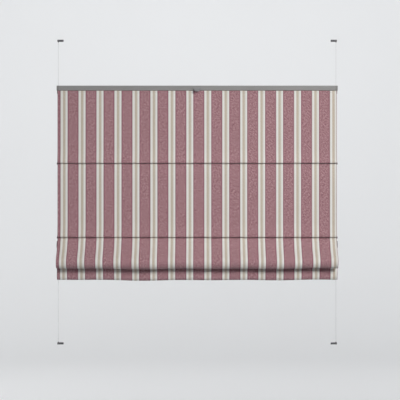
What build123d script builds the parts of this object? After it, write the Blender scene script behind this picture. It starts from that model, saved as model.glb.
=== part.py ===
from build123d import *
from itertools import product
import os

os.makedirs("parts", exist_ok=True)

# Roman blind on two taut cords, for a window's rebate: two sliding rails, a folded cloth and three rods.
# Millimetres. X runs along the rails, the room is towards -Y and the glass towards +Y, Z is up.
# The origin lies midway between the two top brackets, on their seats, in the plane of the cords.

# Overall sizes
SEAT_TO_SEAT = 1280.0
RAIL_LENGTH = 1180.0
CLOTH_WIDTH = 1173.0
SIDES = {"left": -1, "right": 1}

# Cords
CORD_RADIUS = 0.5
CORD_X = RAIL_LENGTH / 2 - 6.5
CORD_HOLE_RADIUS = 0.9
CORD_END_INSET = 0.6

# Tension brackets: (seat height, direction from the seat into the window)
BRACKET_ROWS = {"top": (0.0, -1), "bottom": (-SEAT_TO_SEAT, 1)}
BRACKET_LENGTH = 26.0
BRACKET_DEPTH = 14.0
BRACKET_HEIGHT = 8.0
BRACKET_CORNER = 4.0
BRACKET_EDGE = 1.2
BRACKET_X = CORD_X + 4.0 - BRACKET_LENGTH / 2
SCREW_X = BRACKET_X - 2.5
SCREW_HOLE_RADIUS = 1.9
SCREW_HEAD_RADIUS = 3.8
NOZZLE_RADIUS = 2.6
NOZZLE_HEIGHT = 2.5
NOZZLE_TAPER = 12
NIPPLE_RADIUS = 1.5
NIPPLE_BORE = 0.55
NIPPLE_LENGTH = 3.0
NIPPLE_INSET = 0.3
NIPPLE_POCKET_RADIUS = 1.65
NIPPLE_POCKET = 3.5
GRUB_RADIUS = 1.25
GRUB_LENGTH = 5.8
GRUB_RISE = 5.4
GRUB_SLOT = 0.5

# Rods, and the drop of rods and rails below the seats of the top brackets
PANEL_PITCH = 311.0
UPPER_ROD_DROP = 520.0
MIDDLE_ROD_DROP = UPPER_ROD_DROP + PANEL_PITCH
LOWER_ROD_DROP = MIDDLE_ROD_DROP + 19.0
ROD_DROPS = {"upper": UPPER_ROD_DROP, "middle": MIDDLE_ROD_DROP, "lower": LOWER_ROD_DROP}
ROD_RADIUS = 1.8
ROD_END_X = 579.0
GUIDE_HEIGHT = 8.0
GUIDE_DEPTH = 7.0
GUIDE_CORNER = 2.4
GUIDE_EYE_X = 578.5
GUIDE_SOCKET_X = 573.5
GUIDE_SOCKET_RADIUS = 2.9
GUIDE_SOCKET_DEPTH = 6.0
RAIL_DROPS = {"top": 193.0, "bottom": LOWER_ROD_DROP + GUIDE_HEIGHT / 2}

# Rail section
RAIL_HEIGHT = 21.0
RAIL_FRONT = -11.5
RAIL_BACK = 5.5
RAIL_WALL = 1.3
RAIL_EDGES = {"front top": 2.2, "front bottom": 3.4, "back top": 1.0, "back bottom": 1.0}
CHAMBER_HEIGHT = 11.6
CHAMBER_CORNER = 0.8
CHANNEL_WIDTH = 5.8
CHANNEL_HEIGHT = 5.4
CHANNEL_FLOOR = 1.4
CHANNEL_SLOT = 2.4
CHANNEL_WALL = 1.2
GRIP_GROOVE_DROP = 10.5
GRIP_GROOVE_HEIGHT = 1.4
GRIP_GROOVE_DEPTH = 0.6

# End caps, with a cord guide below the head and a cord brake in the plug
CAP_INNER_X = RAIL_LENGTH / 2 - 9.0
CAP_EDGE = 0.8
PLUG_LENGTH = 16.0
PLUG_PLAY = 0.15
LUG_X = RAIL_LENGTH / 2 - 5.5
LUG_WIDTH = 9.6
LUG_DEPTH = 7.0
LUG_CORNER = 2.2
LUG_DROP = 13.0
LUG_TAPER = 3
BRAKE_DROP = 7.0
BRAKE_BORE = 5.2
BRAKE_POCKET_X = 572.6
SHOE_SIZE = 4.9
SHOE_CORNER = 0.6
SHOE_INNER_X = 575.6
SHOE_TIP_X = CORD_X - 0.2
SPRING_THICKNESS = 0.35
SPRING_WIDTH = 4.0
SPRING_RISE = 2.1

# Cloth: flat panels in one plane, a crease and a rear pocket at each rod, and a keder loop in each rail
CLOTH_Y = -7.5
CLOTH_THICKNESS = 1.2
CREASE_RADIUS = 3.5
POCKET_RADIUS = 2.75
POCKET_HALF = 572.0
POCKET_TRIM_Y = -4.3
EDGE_TRIM_HALF = CAP_INNER_X - 0.5
EDGE_TRIM_PLAY = 0.5
KEDER_RADIUS = 1.0
KEDER_LOOP_RADIUS = 1.95
KEDER_HALF = 579.0

# Where the two folded panels hang, as (forward of the flat cloth, below the middle rod)
FRONT_LOOP = (
    (4.2, 13.0), (15.0, 30.0), (21.5, 43.0), (43.0, 62.0), (62.5, 79.5), (73.5, 98.0),
    (73.5, 118.0), (58.0, 134.4), (43.5, 126.0), (33.0, 103.0), (18.5, 68.0), (11.5, 46.0),
)
REAR_LOOP = (
    (7.0, 42.0), (13.5, 75.0), (24.5, 113.0), (34.0, 147.0), (33.0, 170.0), (22.0, 179.4),
    (11.5, 168.0), (4.0, 120.0),
)
CREASE_SEAM = 0.9
LOWER_CREASE_RUN = 6.0
LOWER_SEAM = 2.6
LOWER_SEAM_HEIGHT = 1.4
INNER_BEND = 2.6
OUTER_BEND = 4.9

# Grip, clipped to the middle of the top rail
GRIP_TOP_HALF = 18.5
GRIP_TIP_HALF = 7.0
GRIP_CORNER = 2.0
GRIP_TOP_DROP = 9.4
GRIP_WAIST = (4.0, 16.5)
GRIP_TIP_DROP = 25.0
GRIP_TIP = 1.8
GRIP_TIP_ROUND = 0.6
GRIP_TIP_SLOPE = 0.55
GRIP_REACH = 11.5
GRIP_PLATE = 1.8
GRIP_ROUND = 0.8
GRIP_LIP = 1.5
GRIP_LIP_REACH = 1.9
GRIP_LIP_SWEEP = 68
GRIP_NIB = 0.6
GRIP_NIB_HEIGHT = 1.0
GRIP_PLAY = 0.15


def write(part, node):
    """Labels a finished piece and writes it under its node's name."""
    part.label = node
    export_step(part, f"parts/{node}.step")


def rail_outline(drop):
    """Adds the outer section of a rail to the sketch at work, its top drop below the seats."""
    with BuildSketch(mode=Mode.PRIVATE) as outline:
        with Locations((RAIL_FRONT, -drop)):
            Rectangle(RAIL_BACK - RAIL_FRONT, RAIL_HEIGHT, align=(Align.MIN, Align.MAX))
        for corner, radius in RAIL_EDGES.items():
            across = 0 if "front" in corner else -1
            along = -1 if "top" in corner else 0
            side = outline.vertices().group_by(Axis.X)[across]
            fillet(side.sort_by(Axis.Y)[along], radius)
    add(outline.sketch)


def chamber(drop, play):
    """Adds the upper hollow of a rail to the sketch at work, smaller by play all round."""
    width = RAIL_BACK - RAIL_FRONT - 2 * (RAIL_WALL + play)
    with Locations(((RAIL_FRONT + RAIL_BACK) / 2, -drop - RAIL_WALL - CHAMBER_HEIGHT / 2)):
        RectangleRounded(width, CHAMBER_HEIGHT - 2 * play, CHAMBER_CORNER)


# Rails: one extrusion each, hollow, with an open channel below for the cloth's edge
for name, drop in RAIL_DROPS.items():
    with BuildPart() as rail:
        with BuildSketch(Plane.YZ) as section:
            rail_outline(drop)
            with BuildSketch(mode=Mode.SUBTRACT):
                chamber(drop, 0)
                channel_back = CLOTH_Y + CHANNEL_WIDTH / 2 + CHANNEL_WALL
                back_width = RAIL_BACK - RAIL_WALL - channel_back
                back_height = RAIL_HEIGHT - RAIL_WALL - CHANNEL_FLOOR
                with Locations((channel_back + back_width / 2, -drop - RAIL_WALL - back_height / 2)):
                    RectangleRounded(back_width, back_height, CHAMBER_CORNER)
            with Locations((CLOTH_Y, -drop - RAIL_HEIGHT + CHANNEL_FLOOR)):
                Rectangle(
                    CHANNEL_WIDTH, CHANNEL_HEIGHT, align=(Align.CENTER, Align.MIN), mode=Mode.SUBTRACT
                )
            with Locations((CLOTH_Y, -drop - RAIL_HEIGHT)):
                Rectangle(CHANNEL_SLOT, 2 * CHANNEL_FLOOR, mode=Mode.SUBTRACT)
            with Locations((RAIL_FRONT, -drop - GRIP_GROOVE_DROP)):
                Rectangle(2 * GRIP_GROOVE_DEPTH, GRIP_GROOVE_HEIGHT, mode=Mode.SUBTRACT)
        extrude(amount=CAP_INNER_X, both=True)
    write(rail.part, f"{name}_rail")

# End caps: head flush with the rail, plug inside it, lug below with the cord's way through
for name, drop in RAIL_DROPS.items():
    for side, sign in SIDES.items():
        with BuildPart() as cap:
            with BuildSketch(Plane.YZ.offset(sign * CAP_INNER_X)):
                rail_outline(drop)
            extrude(amount=sign * (RAIL_LENGTH / 2 - CAP_INNER_X))
            outer_face = cap.faces().sort_by(Axis.X)[-1 if sign > 0 else 0]
            chamfer(outer_face.edges(), CAP_EDGE)
            with BuildSketch(Plane.YZ.offset(sign * CAP_INNER_X)):
                chamber(drop, PLUG_PLAY)
            extrude(amount=-sign * PLUG_LENGTH)
            with BuildSketch(Plane.XY.offset(-drop - RAIL_HEIGHT)):
                with Locations((sign * LUG_X, 0)):
                    RectangleRounded(LUG_WIDTH, LUG_DEPTH, LUG_CORNER)
            extrude(amount=-LUG_DROP, taper=LUG_TAPER)
            with BuildSketch(Plane.YZ.offset(sign * BRAKE_POCKET_X)):
                with Locations((0, -drop - BRAKE_DROP)):
                    Rectangle(BRAKE_BORE, BRAKE_BORE)
            extrude(amount=sign * (CORD_X - BRAKE_POCKET_X), mode=Mode.SUBTRACT)
            with Locations((sign * CORD_X, 0, -drop)):
                Hole(CORD_HOLE_RADIUS)
        write(cap.part, f"{name}_rail_cap_{side}")

        # Brake shoe, grooved to the cord's round, and the bowed leaf spring that pushes it outwards
        with BuildPart() as shoe:
            with BuildSketch(Plane.YZ.offset(sign * SHOE_INNER_X)):
                with Locations((0, -drop - BRAKE_DROP)):
                    RectangleRounded(SHOE_SIZE, SHOE_SIZE, SHOE_CORNER)
            extrude(amount=sign * (SHOE_TIP_X - SHOE_INNER_X))
            with Locations((sign * CORD_X, 0, -drop)):
                Hole(CORD_HOLE_RADIUS)
        write(shoe.part, f"{name}_brake_shoe_{side}")
        with BuildPart() as spring:
            with BuildSketch(Plane.XZ) as strip:
                with BuildLine():
                    foot_x = sign * (BRAKE_POCKET_X + SPRING_THICKNESS)
                    crown_x = sign * (SHOE_INNER_X - SPRING_THICKNESS)
                    middle = -drop - BRAKE_DROP
                    feet = [(foot_x, middle + rise) for rise in (-SPRING_RISE, SPRING_RISE)]
                    ThreePointArc(feet[0], (crown_x, middle), feet[1])
                trace(line_width=SPRING_THICKNESS)
            extrude(amount=SPRING_WIDTH / 2, both=True)
        write(spring.part, f"{name}_brake_spring_{side}")

# Keders: the plain round cores of the cloth's two edges
for name, drop in RAIL_DROPS.items():
    with BuildPart() as keder:
        with BuildSketch(Plane.YZ):
            with Locations((CLOTH_Y, -drop - RAIL_HEIGHT + CHANNEL_FLOOR + CHANNEL_HEIGHT / 2)):
                Circle(KEDER_RADIUS)
        extrude(amount=KEDER_HALF, both=True)
    write(keder.part, f"{name}_keder")

# Rods, and the guides at their ends: a socket on the rod and an eye that rides on the cord
for name, drop in ROD_DROPS.items():
    with BuildPart() as rod:
        with BuildSketch(Plane.YZ):
            with Locations((0, -drop)):
                Circle(ROD_RADIUS)
        extrude(amount=ROD_END_X, both=True)
    write(rod.part, f"{name}_rod")
    for side, sign in SIDES.items():
        with BuildPart() as guide:
            with BuildSketch(Plane.XY.offset(-drop)):
                with Locations((sign * (GUIDE_EYE_X + RAIL_LENGTH / 2) / 2, 0)):
                    RectangleRounded(RAIL_LENGTH / 2 - GUIDE_EYE_X, GUIDE_DEPTH, GUIDE_CORNER)
            extrude(amount=GUIDE_HEIGHT / 2, both=True)
            with BuildSketch(Plane.YZ.offset(sign * GUIDE_SOCKET_X)):
                with Locations((0, -drop)):
                    Circle(GUIDE_SOCKET_RADIUS)
            extrude(amount=sign * GUIDE_SOCKET_DEPTH)
            with BuildSketch(Plane.YZ.offset(sign * GUIDE_SOCKET_X)):
                with Locations((0, -drop)):
                    Circle(ROD_RADIUS)
            extrude(amount=sign * (ROD_END_X - GUIDE_SOCKET_X), mode=Mode.SUBTRACT)
            with Locations((sign * CORD_X, 0, -drop)):
                Hole(CORD_HOLE_RADIUS)
        write(guide.part, f"{name}_rod_guide_{side}")

# Fabric: one sheet, drawn as the line of its mid-surface in section
with BuildPart() as fabric:
    with BuildSketch(Plane.YZ) as section:
        half = CLOTH_THICKNESS / 2
        top_keder_z = -RAIL_DROPS["top"] - RAIL_HEIGHT + CHANNEL_FLOOR + CHANNEL_HEIGHT / 2
        bottom_keder_z = -RAIL_DROPS["bottom"] - RAIL_HEIGHT + CHANNEL_FLOOR + CHANNEL_HEIGHT / 2
        panel_top = top_keder_z - KEDER_LOOP_RADIUS
        pinch_y = CLOTH_Y + CREASE_RADIUS

        # Flat panels between the creases
        for drop in (UPPER_ROD_DROP, MIDDLE_ROD_DROP):
            with BuildLine():
                crease_top = -drop + half + CREASE_RADIUS
                Line((CLOTH_Y, panel_top), (CLOTH_Y, crease_top))
                CenterArc((pinch_y, crease_top), CREASE_RADIUS, 180, 90)
            trace(line_width=CLOTH_THICKNESS)
            panel_top = -drop - half - CREASE_RADIUS
            with BuildLine():
                CenterArc((pinch_y, panel_top), CREASE_RADIUS, 90, 90)
            trace(line_width=CLOTH_THICKNESS)

        # Third panel: the big loop at the front, whose rear leg turns over the lower rod's crease
        bend_y = pinch_y - LOWER_CREASE_RUN
        outer_top = -LOWER_ROD_DROP + half
        inner_top = -LOWER_ROD_DROP - half
        with BuildLine():
            places = [(CLOTH_Y - forward, -MIDDLE_ROD_DROP - down) for forward, down in FRONT_LOOP]
            leg_end = (bend_y - OUTER_BEND, outer_top - OUTER_BEND)
            Spline((CLOTH_Y, panel_top), *places, leg_end, tangents=((0, -1), (0, 1)))
            CenterArc((bend_y, outer_top - OUTER_BEND), OUTER_BEND, 180, -90)
            Line((bend_y, outer_top), (pinch_y, outer_top))
        trace(line_width=CLOTH_THICKNESS)

        # Fourth panel: the narrow loop behind it, which comes up into the bottom rail
        with BuildLine():
            Line((pinch_y, inner_top), (bend_y, inner_top))
            CenterArc((bend_y, inner_top - INNER_BEND), INNER_BEND, 90, 90)
            places = [(CLOTH_Y - forward, -MIDDLE_ROD_DROP - down) for forward, down in REAR_LOOP]
            leg_start = (bend_y - INNER_BEND, inner_top - INNER_BEND)
            rail_mouth = (CLOTH_Y, -RAIL_DROPS["bottom"] - RAIL_HEIGHT)
            Spline(leg_start, *places, rail_mouth, tangents=((0, -1), (0, 1)))
            Line(rail_mouth, (CLOTH_Y, bottom_keder_z - KEDER_LOOP_RADIUS))
        trace(line_width=CLOTH_THICKNESS)

        # Pockets round the rods and loops round the keders
        with Locations(*[(0, -drop) for drop in ROD_DROPS.values()]):
            Circle(POCKET_RADIUS + half)
        for drop in ROD_DROPS.values():
            with Locations((pinch_y, -drop)):
                Rectangle(-pinch_y, 2 * CLOTH_THICKNESS, align=(Align.MIN, Align.CENTER))
        with Locations((pinch_y, -UPPER_ROD_DROP), (pinch_y, -MIDDLE_ROD_DROP)):
            Rectangle(CREASE_SEAM, CLOTH_THICKNESS, align=(Align.MAX, Align.CENTER))
        with Locations((pinch_y, -LOWER_ROD_DROP)):
            Rectangle(LOWER_CREASE_RUN + LOWER_SEAM, LOWER_SEAM_HEIGHT, align=(Align.MAX, Align.MAX))
        with Locations((CLOTH_Y, top_keder_z), (CLOTH_Y, bottom_keder_z)):
            Circle(KEDER_LOOP_RADIUS + half)
            Circle(KEDER_LOOP_RADIUS - half, mode=Mode.SUBTRACT)
        with Locations(*[(0, -drop) for drop in ROD_DROPS.values()]):
            Circle(POCKET_RADIUS - half, mode=Mode.SUBTRACT)
    extrude(amount=CLOTH_WIDTH / 2, both=True)

    # The pockets stop short of the guides
    trim_size = 2 * (POCKET_RADIUS + CLOTH_THICKNESS)
    for sign, drop in product(SIDES.values(), ROD_DROPS.values()):
        with BuildSketch(Plane.YZ.offset(sign * POCKET_HALF)):
            with Locations((POCKET_TRIM_Y, -drop)):
                Rectangle(trim_size, trim_size, align=(Align.MIN, Align.CENTER))
        extrude(amount=sign * CLOTH_WIDTH, mode=Mode.SUBTRACT)

    # The edges inside the rails stop short of the end caps
    for sign, drop in product(SIDES.values(), RAIL_DROPS.values()):
        with BuildSketch(Plane.YZ.offset(sign * EDGE_TRIM_HALF)):
            with Locations((CLOTH_Y, -drop - RAIL_HEIGHT - EDGE_TRIM_PLAY)):
                Rectangle(CHANNEL_WIDTH, RAIL_HEIGHT, align=(Align.CENTER, Align.MIN))
        extrude(amount=sign * CLOTH_WIDTH, mode=Mode.SUBTRACT)
write(fabric.part, "fabric")

# Tension brackets: moulded shoes with a countersunk screw hole, a nipple pocket and a clamp screw hole
for row, (seat, into) in BRACKET_ROWS.items():
    for side, sign in SIDES.items():
        with BuildPart() as bracket:
            with BuildSketch(Plane.XY.offset(seat)):
                with Locations((sign * BRACKET_X, 0)):
                    RectangleRounded(BRACKET_LENGTH, BRACKET_DEPTH, BRACKET_CORNER)
            extrude(amount=into * BRACKET_HEIGHT)
            free_face = bracket.faces().sort_by(Axis.Z)[-1 if into > 0 else 0]
            fillet(free_face.edges(), BRACKET_EDGE)
            free = seat + into * BRACKET_HEIGHT
            with BuildSketch(Plane.XY.offset(free)):
                with Locations((sign * CORD_X, 0)):
                    Circle(NOZZLE_RADIUS)
            extrude(amount=into * NOZZLE_HEIGHT, taper=NOZZLE_TAPER)
            with Locations(Plane((sign * SCREW_X, 0, free), z_dir=(0, 0, into))):
                CounterSinkHole(SCREW_HOLE_RADIUS, SCREW_HEAD_RADIUS, BRACKET_HEIGHT)
            with Locations(Plane((sign * CORD_X, 0, seat), z_dir=(0, 0, -into))):
                CounterBoreHole(CORD_HOLE_RADIUS, NIPPLE_POCKET_RADIUS, NIPPLE_POCKET, 2 * BRACKET_HEIGHT)
            grub_z = seat + into * GRUB_RISE
            with Locations(Plane((sign * CORD_X, -BRACKET_DEPTH / 2, grub_z), z_dir=(0, -1, 0))):
                Hole(GRUB_RADIUS, BRACKET_DEPTH / 2)
        write(bracket.part, f"{row}_bracket_{side}")

# Cord nipples, in the pockets of the top brackets
with BuildPart() as nipples:
    with BuildSketch(Plane.XY.offset(-NIPPLE_INSET)):
        with Locations(*[(sign * CORD_X, 0) for sign in SIDES.values()]):
            Circle(NIPPLE_RADIUS)
            Circle(NIPPLE_BORE, mode=Mode.SUBTRACT)
    extrude(amount=-NIPPLE_LENGTH)
write(nipples.part, "cord_nipples")

# Clamp screws, in all four brackets
with BuildPart() as clamp_screws:
    for seat, into in BRACKET_ROWS.values():
        for sign in SIDES.values():
            grub_z = seat + into * GRUB_RISE
            with BuildSketch(Plane((sign * CORD_X, -CORD_RADIUS, grub_z), z_dir=(0, -1, 0))):
                Circle(GRUB_RADIUS)
            extrude(amount=GRUB_LENGTH)
            with Locations((sign * CORD_X, -CORD_RADIUS - GRUB_LENGTH, grub_z)):
                Box(2 * GRUB_RADIUS, 2 * GRUB_SLOT, GRUB_SLOT, mode=Mode.SUBTRACT)
write(clamp_screws.part, "clamp_screws")

# Tension cords, taut from bracket to bracket
for side, sign in SIDES.items():
    with BuildPart() as cord:
        with BuildSketch(Plane.XY.offset(-CORD_END_INSET)):
            with Locations((sign * CORD_X, 0)):
                Circle(CORD_RADIUS)
        extrude(amount=-(SEAT_TO_SEAT - 2 * CORD_END_INSET))
    write(cord.part, f"tension_cord_{side}")

# Grip: a moulded clip with a tongue for two fingers, its nib in the rail's groove, its lip under the rail
with BuildPart() as grip:
    top = -RAIL_DROPS["top"]
    face = RAIL_FRONT - GRIP_PLAY
    corner_radius = RAIL_EDGES["front bottom"] + GRIP_PLAY
    with BuildSketch(Plane.YZ) as side_view:
        with BuildLine():
            plate_top = (face - GRIP_PLATE, top - GRIP_TOP_DROP)
            waist = (face - GRIP_WAIST[0], top - GRIP_WAIST[1])
            tip_top = (face - GRIP_REACH, top - GRIP_TIP_DROP + GRIP_TIP)
            tip_low = (face - GRIP_REACH + GRIP_TIP_ROUND, top - GRIP_TIP_DROP)
            corner_top = (face, top - RAIL_HEIGHT - GRIP_PLAY + corner_radius)
            corner = CenterArc((face + corner_radius, corner_top[1]), corner_radius, 180, GRIP_LIP_SWEEP)
            lip_low = (face + GRIP_LIP_REACH, top - RAIL_HEIGHT - GRIP_PLAY - GRIP_LIP)
            Polyline(corner_top, (face, plate_top[1]), plate_top)
            Spline(plate_top, waist, tip_top, tangents=((0, -1), (-1, -GRIP_TIP_SLOPE)))
            Line(tip_top, tip_low)
            Spline(tip_low, lip_low, tangents=((1, GRIP_TIP_SLOPE), (1, 0)))
            Line(lip_low, corner @ 1)
        make_face()
        fillet(side_view.vertices().sort_by_distance(plate_top)[0], GRIP_ROUND)
        fillet(side_view.vertices().group_by(Axis.X)[0], GRIP_TIP_ROUND)
        with Locations((face, top - GRIP_GROOVE_DROP)):
            Rectangle(2 * GRIP_NIB, GRIP_NIB_HEIGHT)
    extrude(amount=GRIP_TOP_HALF, both=True)
    with BuildSketch(Plane.XZ.offset(-RAIL_BACK)) as front_view:
        with BuildLine():
            Polyline(
                (-GRIP_TOP_HALF, top - GRIP_TOP_DROP),
                (GRIP_TOP_HALF, top - GRIP_TOP_DROP),
                (GRIP_TIP_HALF, top - GRIP_TIP_DROP),
                (-GRIP_TIP_HALF, top - GRIP_TIP_DROP),
                close=True,
            )
        make_face()
        fillet(front_view.vertices(), GRIP_CORNER)
    extrude(amount=10 * GRIP_REACH, mode=Mode.INTERSECT)
write(grip.part, "grip")
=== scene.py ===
"""Dresses the roman blind: its folded striped cloth, hems and stitching, and every other piece's finish."""

import logging
import math
from dataclasses import dataclass, field
from enum import Enum
from typing import NamedTuple, Sequence, Union

import bpy
import numpy as np
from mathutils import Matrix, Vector

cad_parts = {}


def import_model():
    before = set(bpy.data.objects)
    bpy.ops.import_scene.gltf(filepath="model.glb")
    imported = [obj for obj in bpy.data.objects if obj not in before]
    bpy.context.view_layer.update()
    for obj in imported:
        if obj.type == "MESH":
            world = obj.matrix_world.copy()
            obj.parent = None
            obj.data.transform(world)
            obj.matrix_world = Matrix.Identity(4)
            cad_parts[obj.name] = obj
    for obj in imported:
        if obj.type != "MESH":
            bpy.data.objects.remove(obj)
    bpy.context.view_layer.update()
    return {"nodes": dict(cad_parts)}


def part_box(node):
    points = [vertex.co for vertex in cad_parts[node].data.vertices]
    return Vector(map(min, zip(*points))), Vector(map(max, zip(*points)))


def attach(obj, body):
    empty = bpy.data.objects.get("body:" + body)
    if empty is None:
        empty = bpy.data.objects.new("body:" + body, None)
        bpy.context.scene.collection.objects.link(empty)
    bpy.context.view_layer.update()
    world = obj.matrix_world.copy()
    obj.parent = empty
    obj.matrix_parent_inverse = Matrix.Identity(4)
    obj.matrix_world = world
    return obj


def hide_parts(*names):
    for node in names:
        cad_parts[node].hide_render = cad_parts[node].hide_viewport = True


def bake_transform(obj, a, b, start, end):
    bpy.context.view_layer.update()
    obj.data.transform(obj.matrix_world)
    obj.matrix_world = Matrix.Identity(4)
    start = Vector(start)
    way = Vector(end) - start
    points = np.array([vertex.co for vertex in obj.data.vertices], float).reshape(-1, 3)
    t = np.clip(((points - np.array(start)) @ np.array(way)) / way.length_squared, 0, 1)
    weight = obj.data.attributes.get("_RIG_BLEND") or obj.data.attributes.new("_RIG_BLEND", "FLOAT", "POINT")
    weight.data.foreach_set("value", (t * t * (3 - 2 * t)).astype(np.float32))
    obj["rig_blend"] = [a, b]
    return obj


LOG = logging.getLogger("blind")
FULL_TURN = 2.0 * math.pi

# Lengths in metres that count as none, in the cloth's cuts and between the line's points
HAIR = 1e-5
TOUCH = 1e-7

# Directions in section, as y and z
UP = (0.0, 1.0)
DOWN = (0.0, -1.0)
BACK = (1.0, 0.0)

Value = Union["Flow", float]
Colour = tuple[float, float, float]
Spot = tuple[float, float, float]
Outline = tuple[tuple[float, float], ...]


def srgb(red: int, green: int, blue: int) -> Colour:
    """Turns a screen colour from 0 to 255 into a linear one.

    Args:
        red: The screen's red.
        green: The screen's green.
        blue: The screen's blue.

    Returns:
        The linear colour.
    """
    shares = (red / 255.0, green / 255.0, blue / 255.0)
    return tuple(s / 12.92 if s <= 0.04045 else ((s + 0.055) / 1.055) ** 2.4 for s in shares)


def middle_of(node: str) -> Vector:
    """Returns the middle of a fixed piece's box."""
    low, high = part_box(node)
    return (low + high) / 2.0


def link(thing: bpy.types.Object) -> None:
    """Puts an object into the scene."""
    bpy.context.scene.collection.objects.link(thing)


def select_only(piece: bpy.types.Object) -> None:
    """Selects one piece and makes it the active one.

    Args:
        piece: The piece.
    """
    bpy.ops.object.select_all(action="DESELECT")
    piece.select_set(True)
    bpy.context.view_layer.objects.active = piece


class Flow:
    """One output in a sheet of nodes, worked on with Python's operators."""

    def __init__(self, sheet: "Sheet", socket: bpy.types.NodeSocket) -> None:
        """Keeps the output and the sheet it is on.

        Args:
            sheet: The sheet.
            socket: The output.
        """
        self.sheet = sheet
        self.socket = socket

    def maths(self, operation: str, *others: Value, first: bool = True) -> "Flow":
        """Adds a Math node.

        Args:
            operation: The node's operation.
            others: The other values, numbers or outputs.
            first: True where this output is the first value, False where it is the second.

        Returns:
            The node's output.
        """
        values = [self, *others] if first else [*others, self]
        node = self.sheet.node("ShaderNodeMath", {"operation": operation}, dict(enumerate(values)))
        return Flow(self.sheet, node.outputs[0])

    def __add__(self, other: Value) -> "Flow":
        """Adds."""
        return self.maths("ADD", other)

    def __sub__(self, other: Value) -> "Flow":
        """Takes away."""
        return self.maths("SUBTRACT", other)

    def __rsub__(self, other: float) -> "Flow":
        """Takes this away from a number."""
        return self.maths("SUBTRACT", other, first=False)

    def __mul__(self, other: Value) -> "Flow":
        """Multiplies."""
        return self.maths("MULTIPLY", other)

    def __truediv__(self, other: Value) -> "Flow":
        """Divides."""
        return self.maths("DIVIDE", other)

    __radd__ = __add__
    __rmul__ = __mul__

    def size(self) -> "Flow":
        """Drops the sign."""
        return self.maths("ABSOLUTE")

    def fraction(self) -> "Flow":
        """Keeps what is behind the point."""
        return self.maths("FRACT")

    def held(self) -> "Flow":
        """Holds the value between 0 and 1."""
        return self.maths("MAXIMUM", 0.0).maths("MINIMUM", 1.0)

    def swing(self, amount: float) -> "Flow":
        """Turns a value from 0 to 1 into a swing about 0."""
        return (self - 0.5) * amount

    def wave(self, length: float) -> "Flow":
        """Turns a length into a sine from -1 to 1 that repeats after the given length."""
        return (self * (FULL_TURN / length)).maths("SINE")


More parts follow.
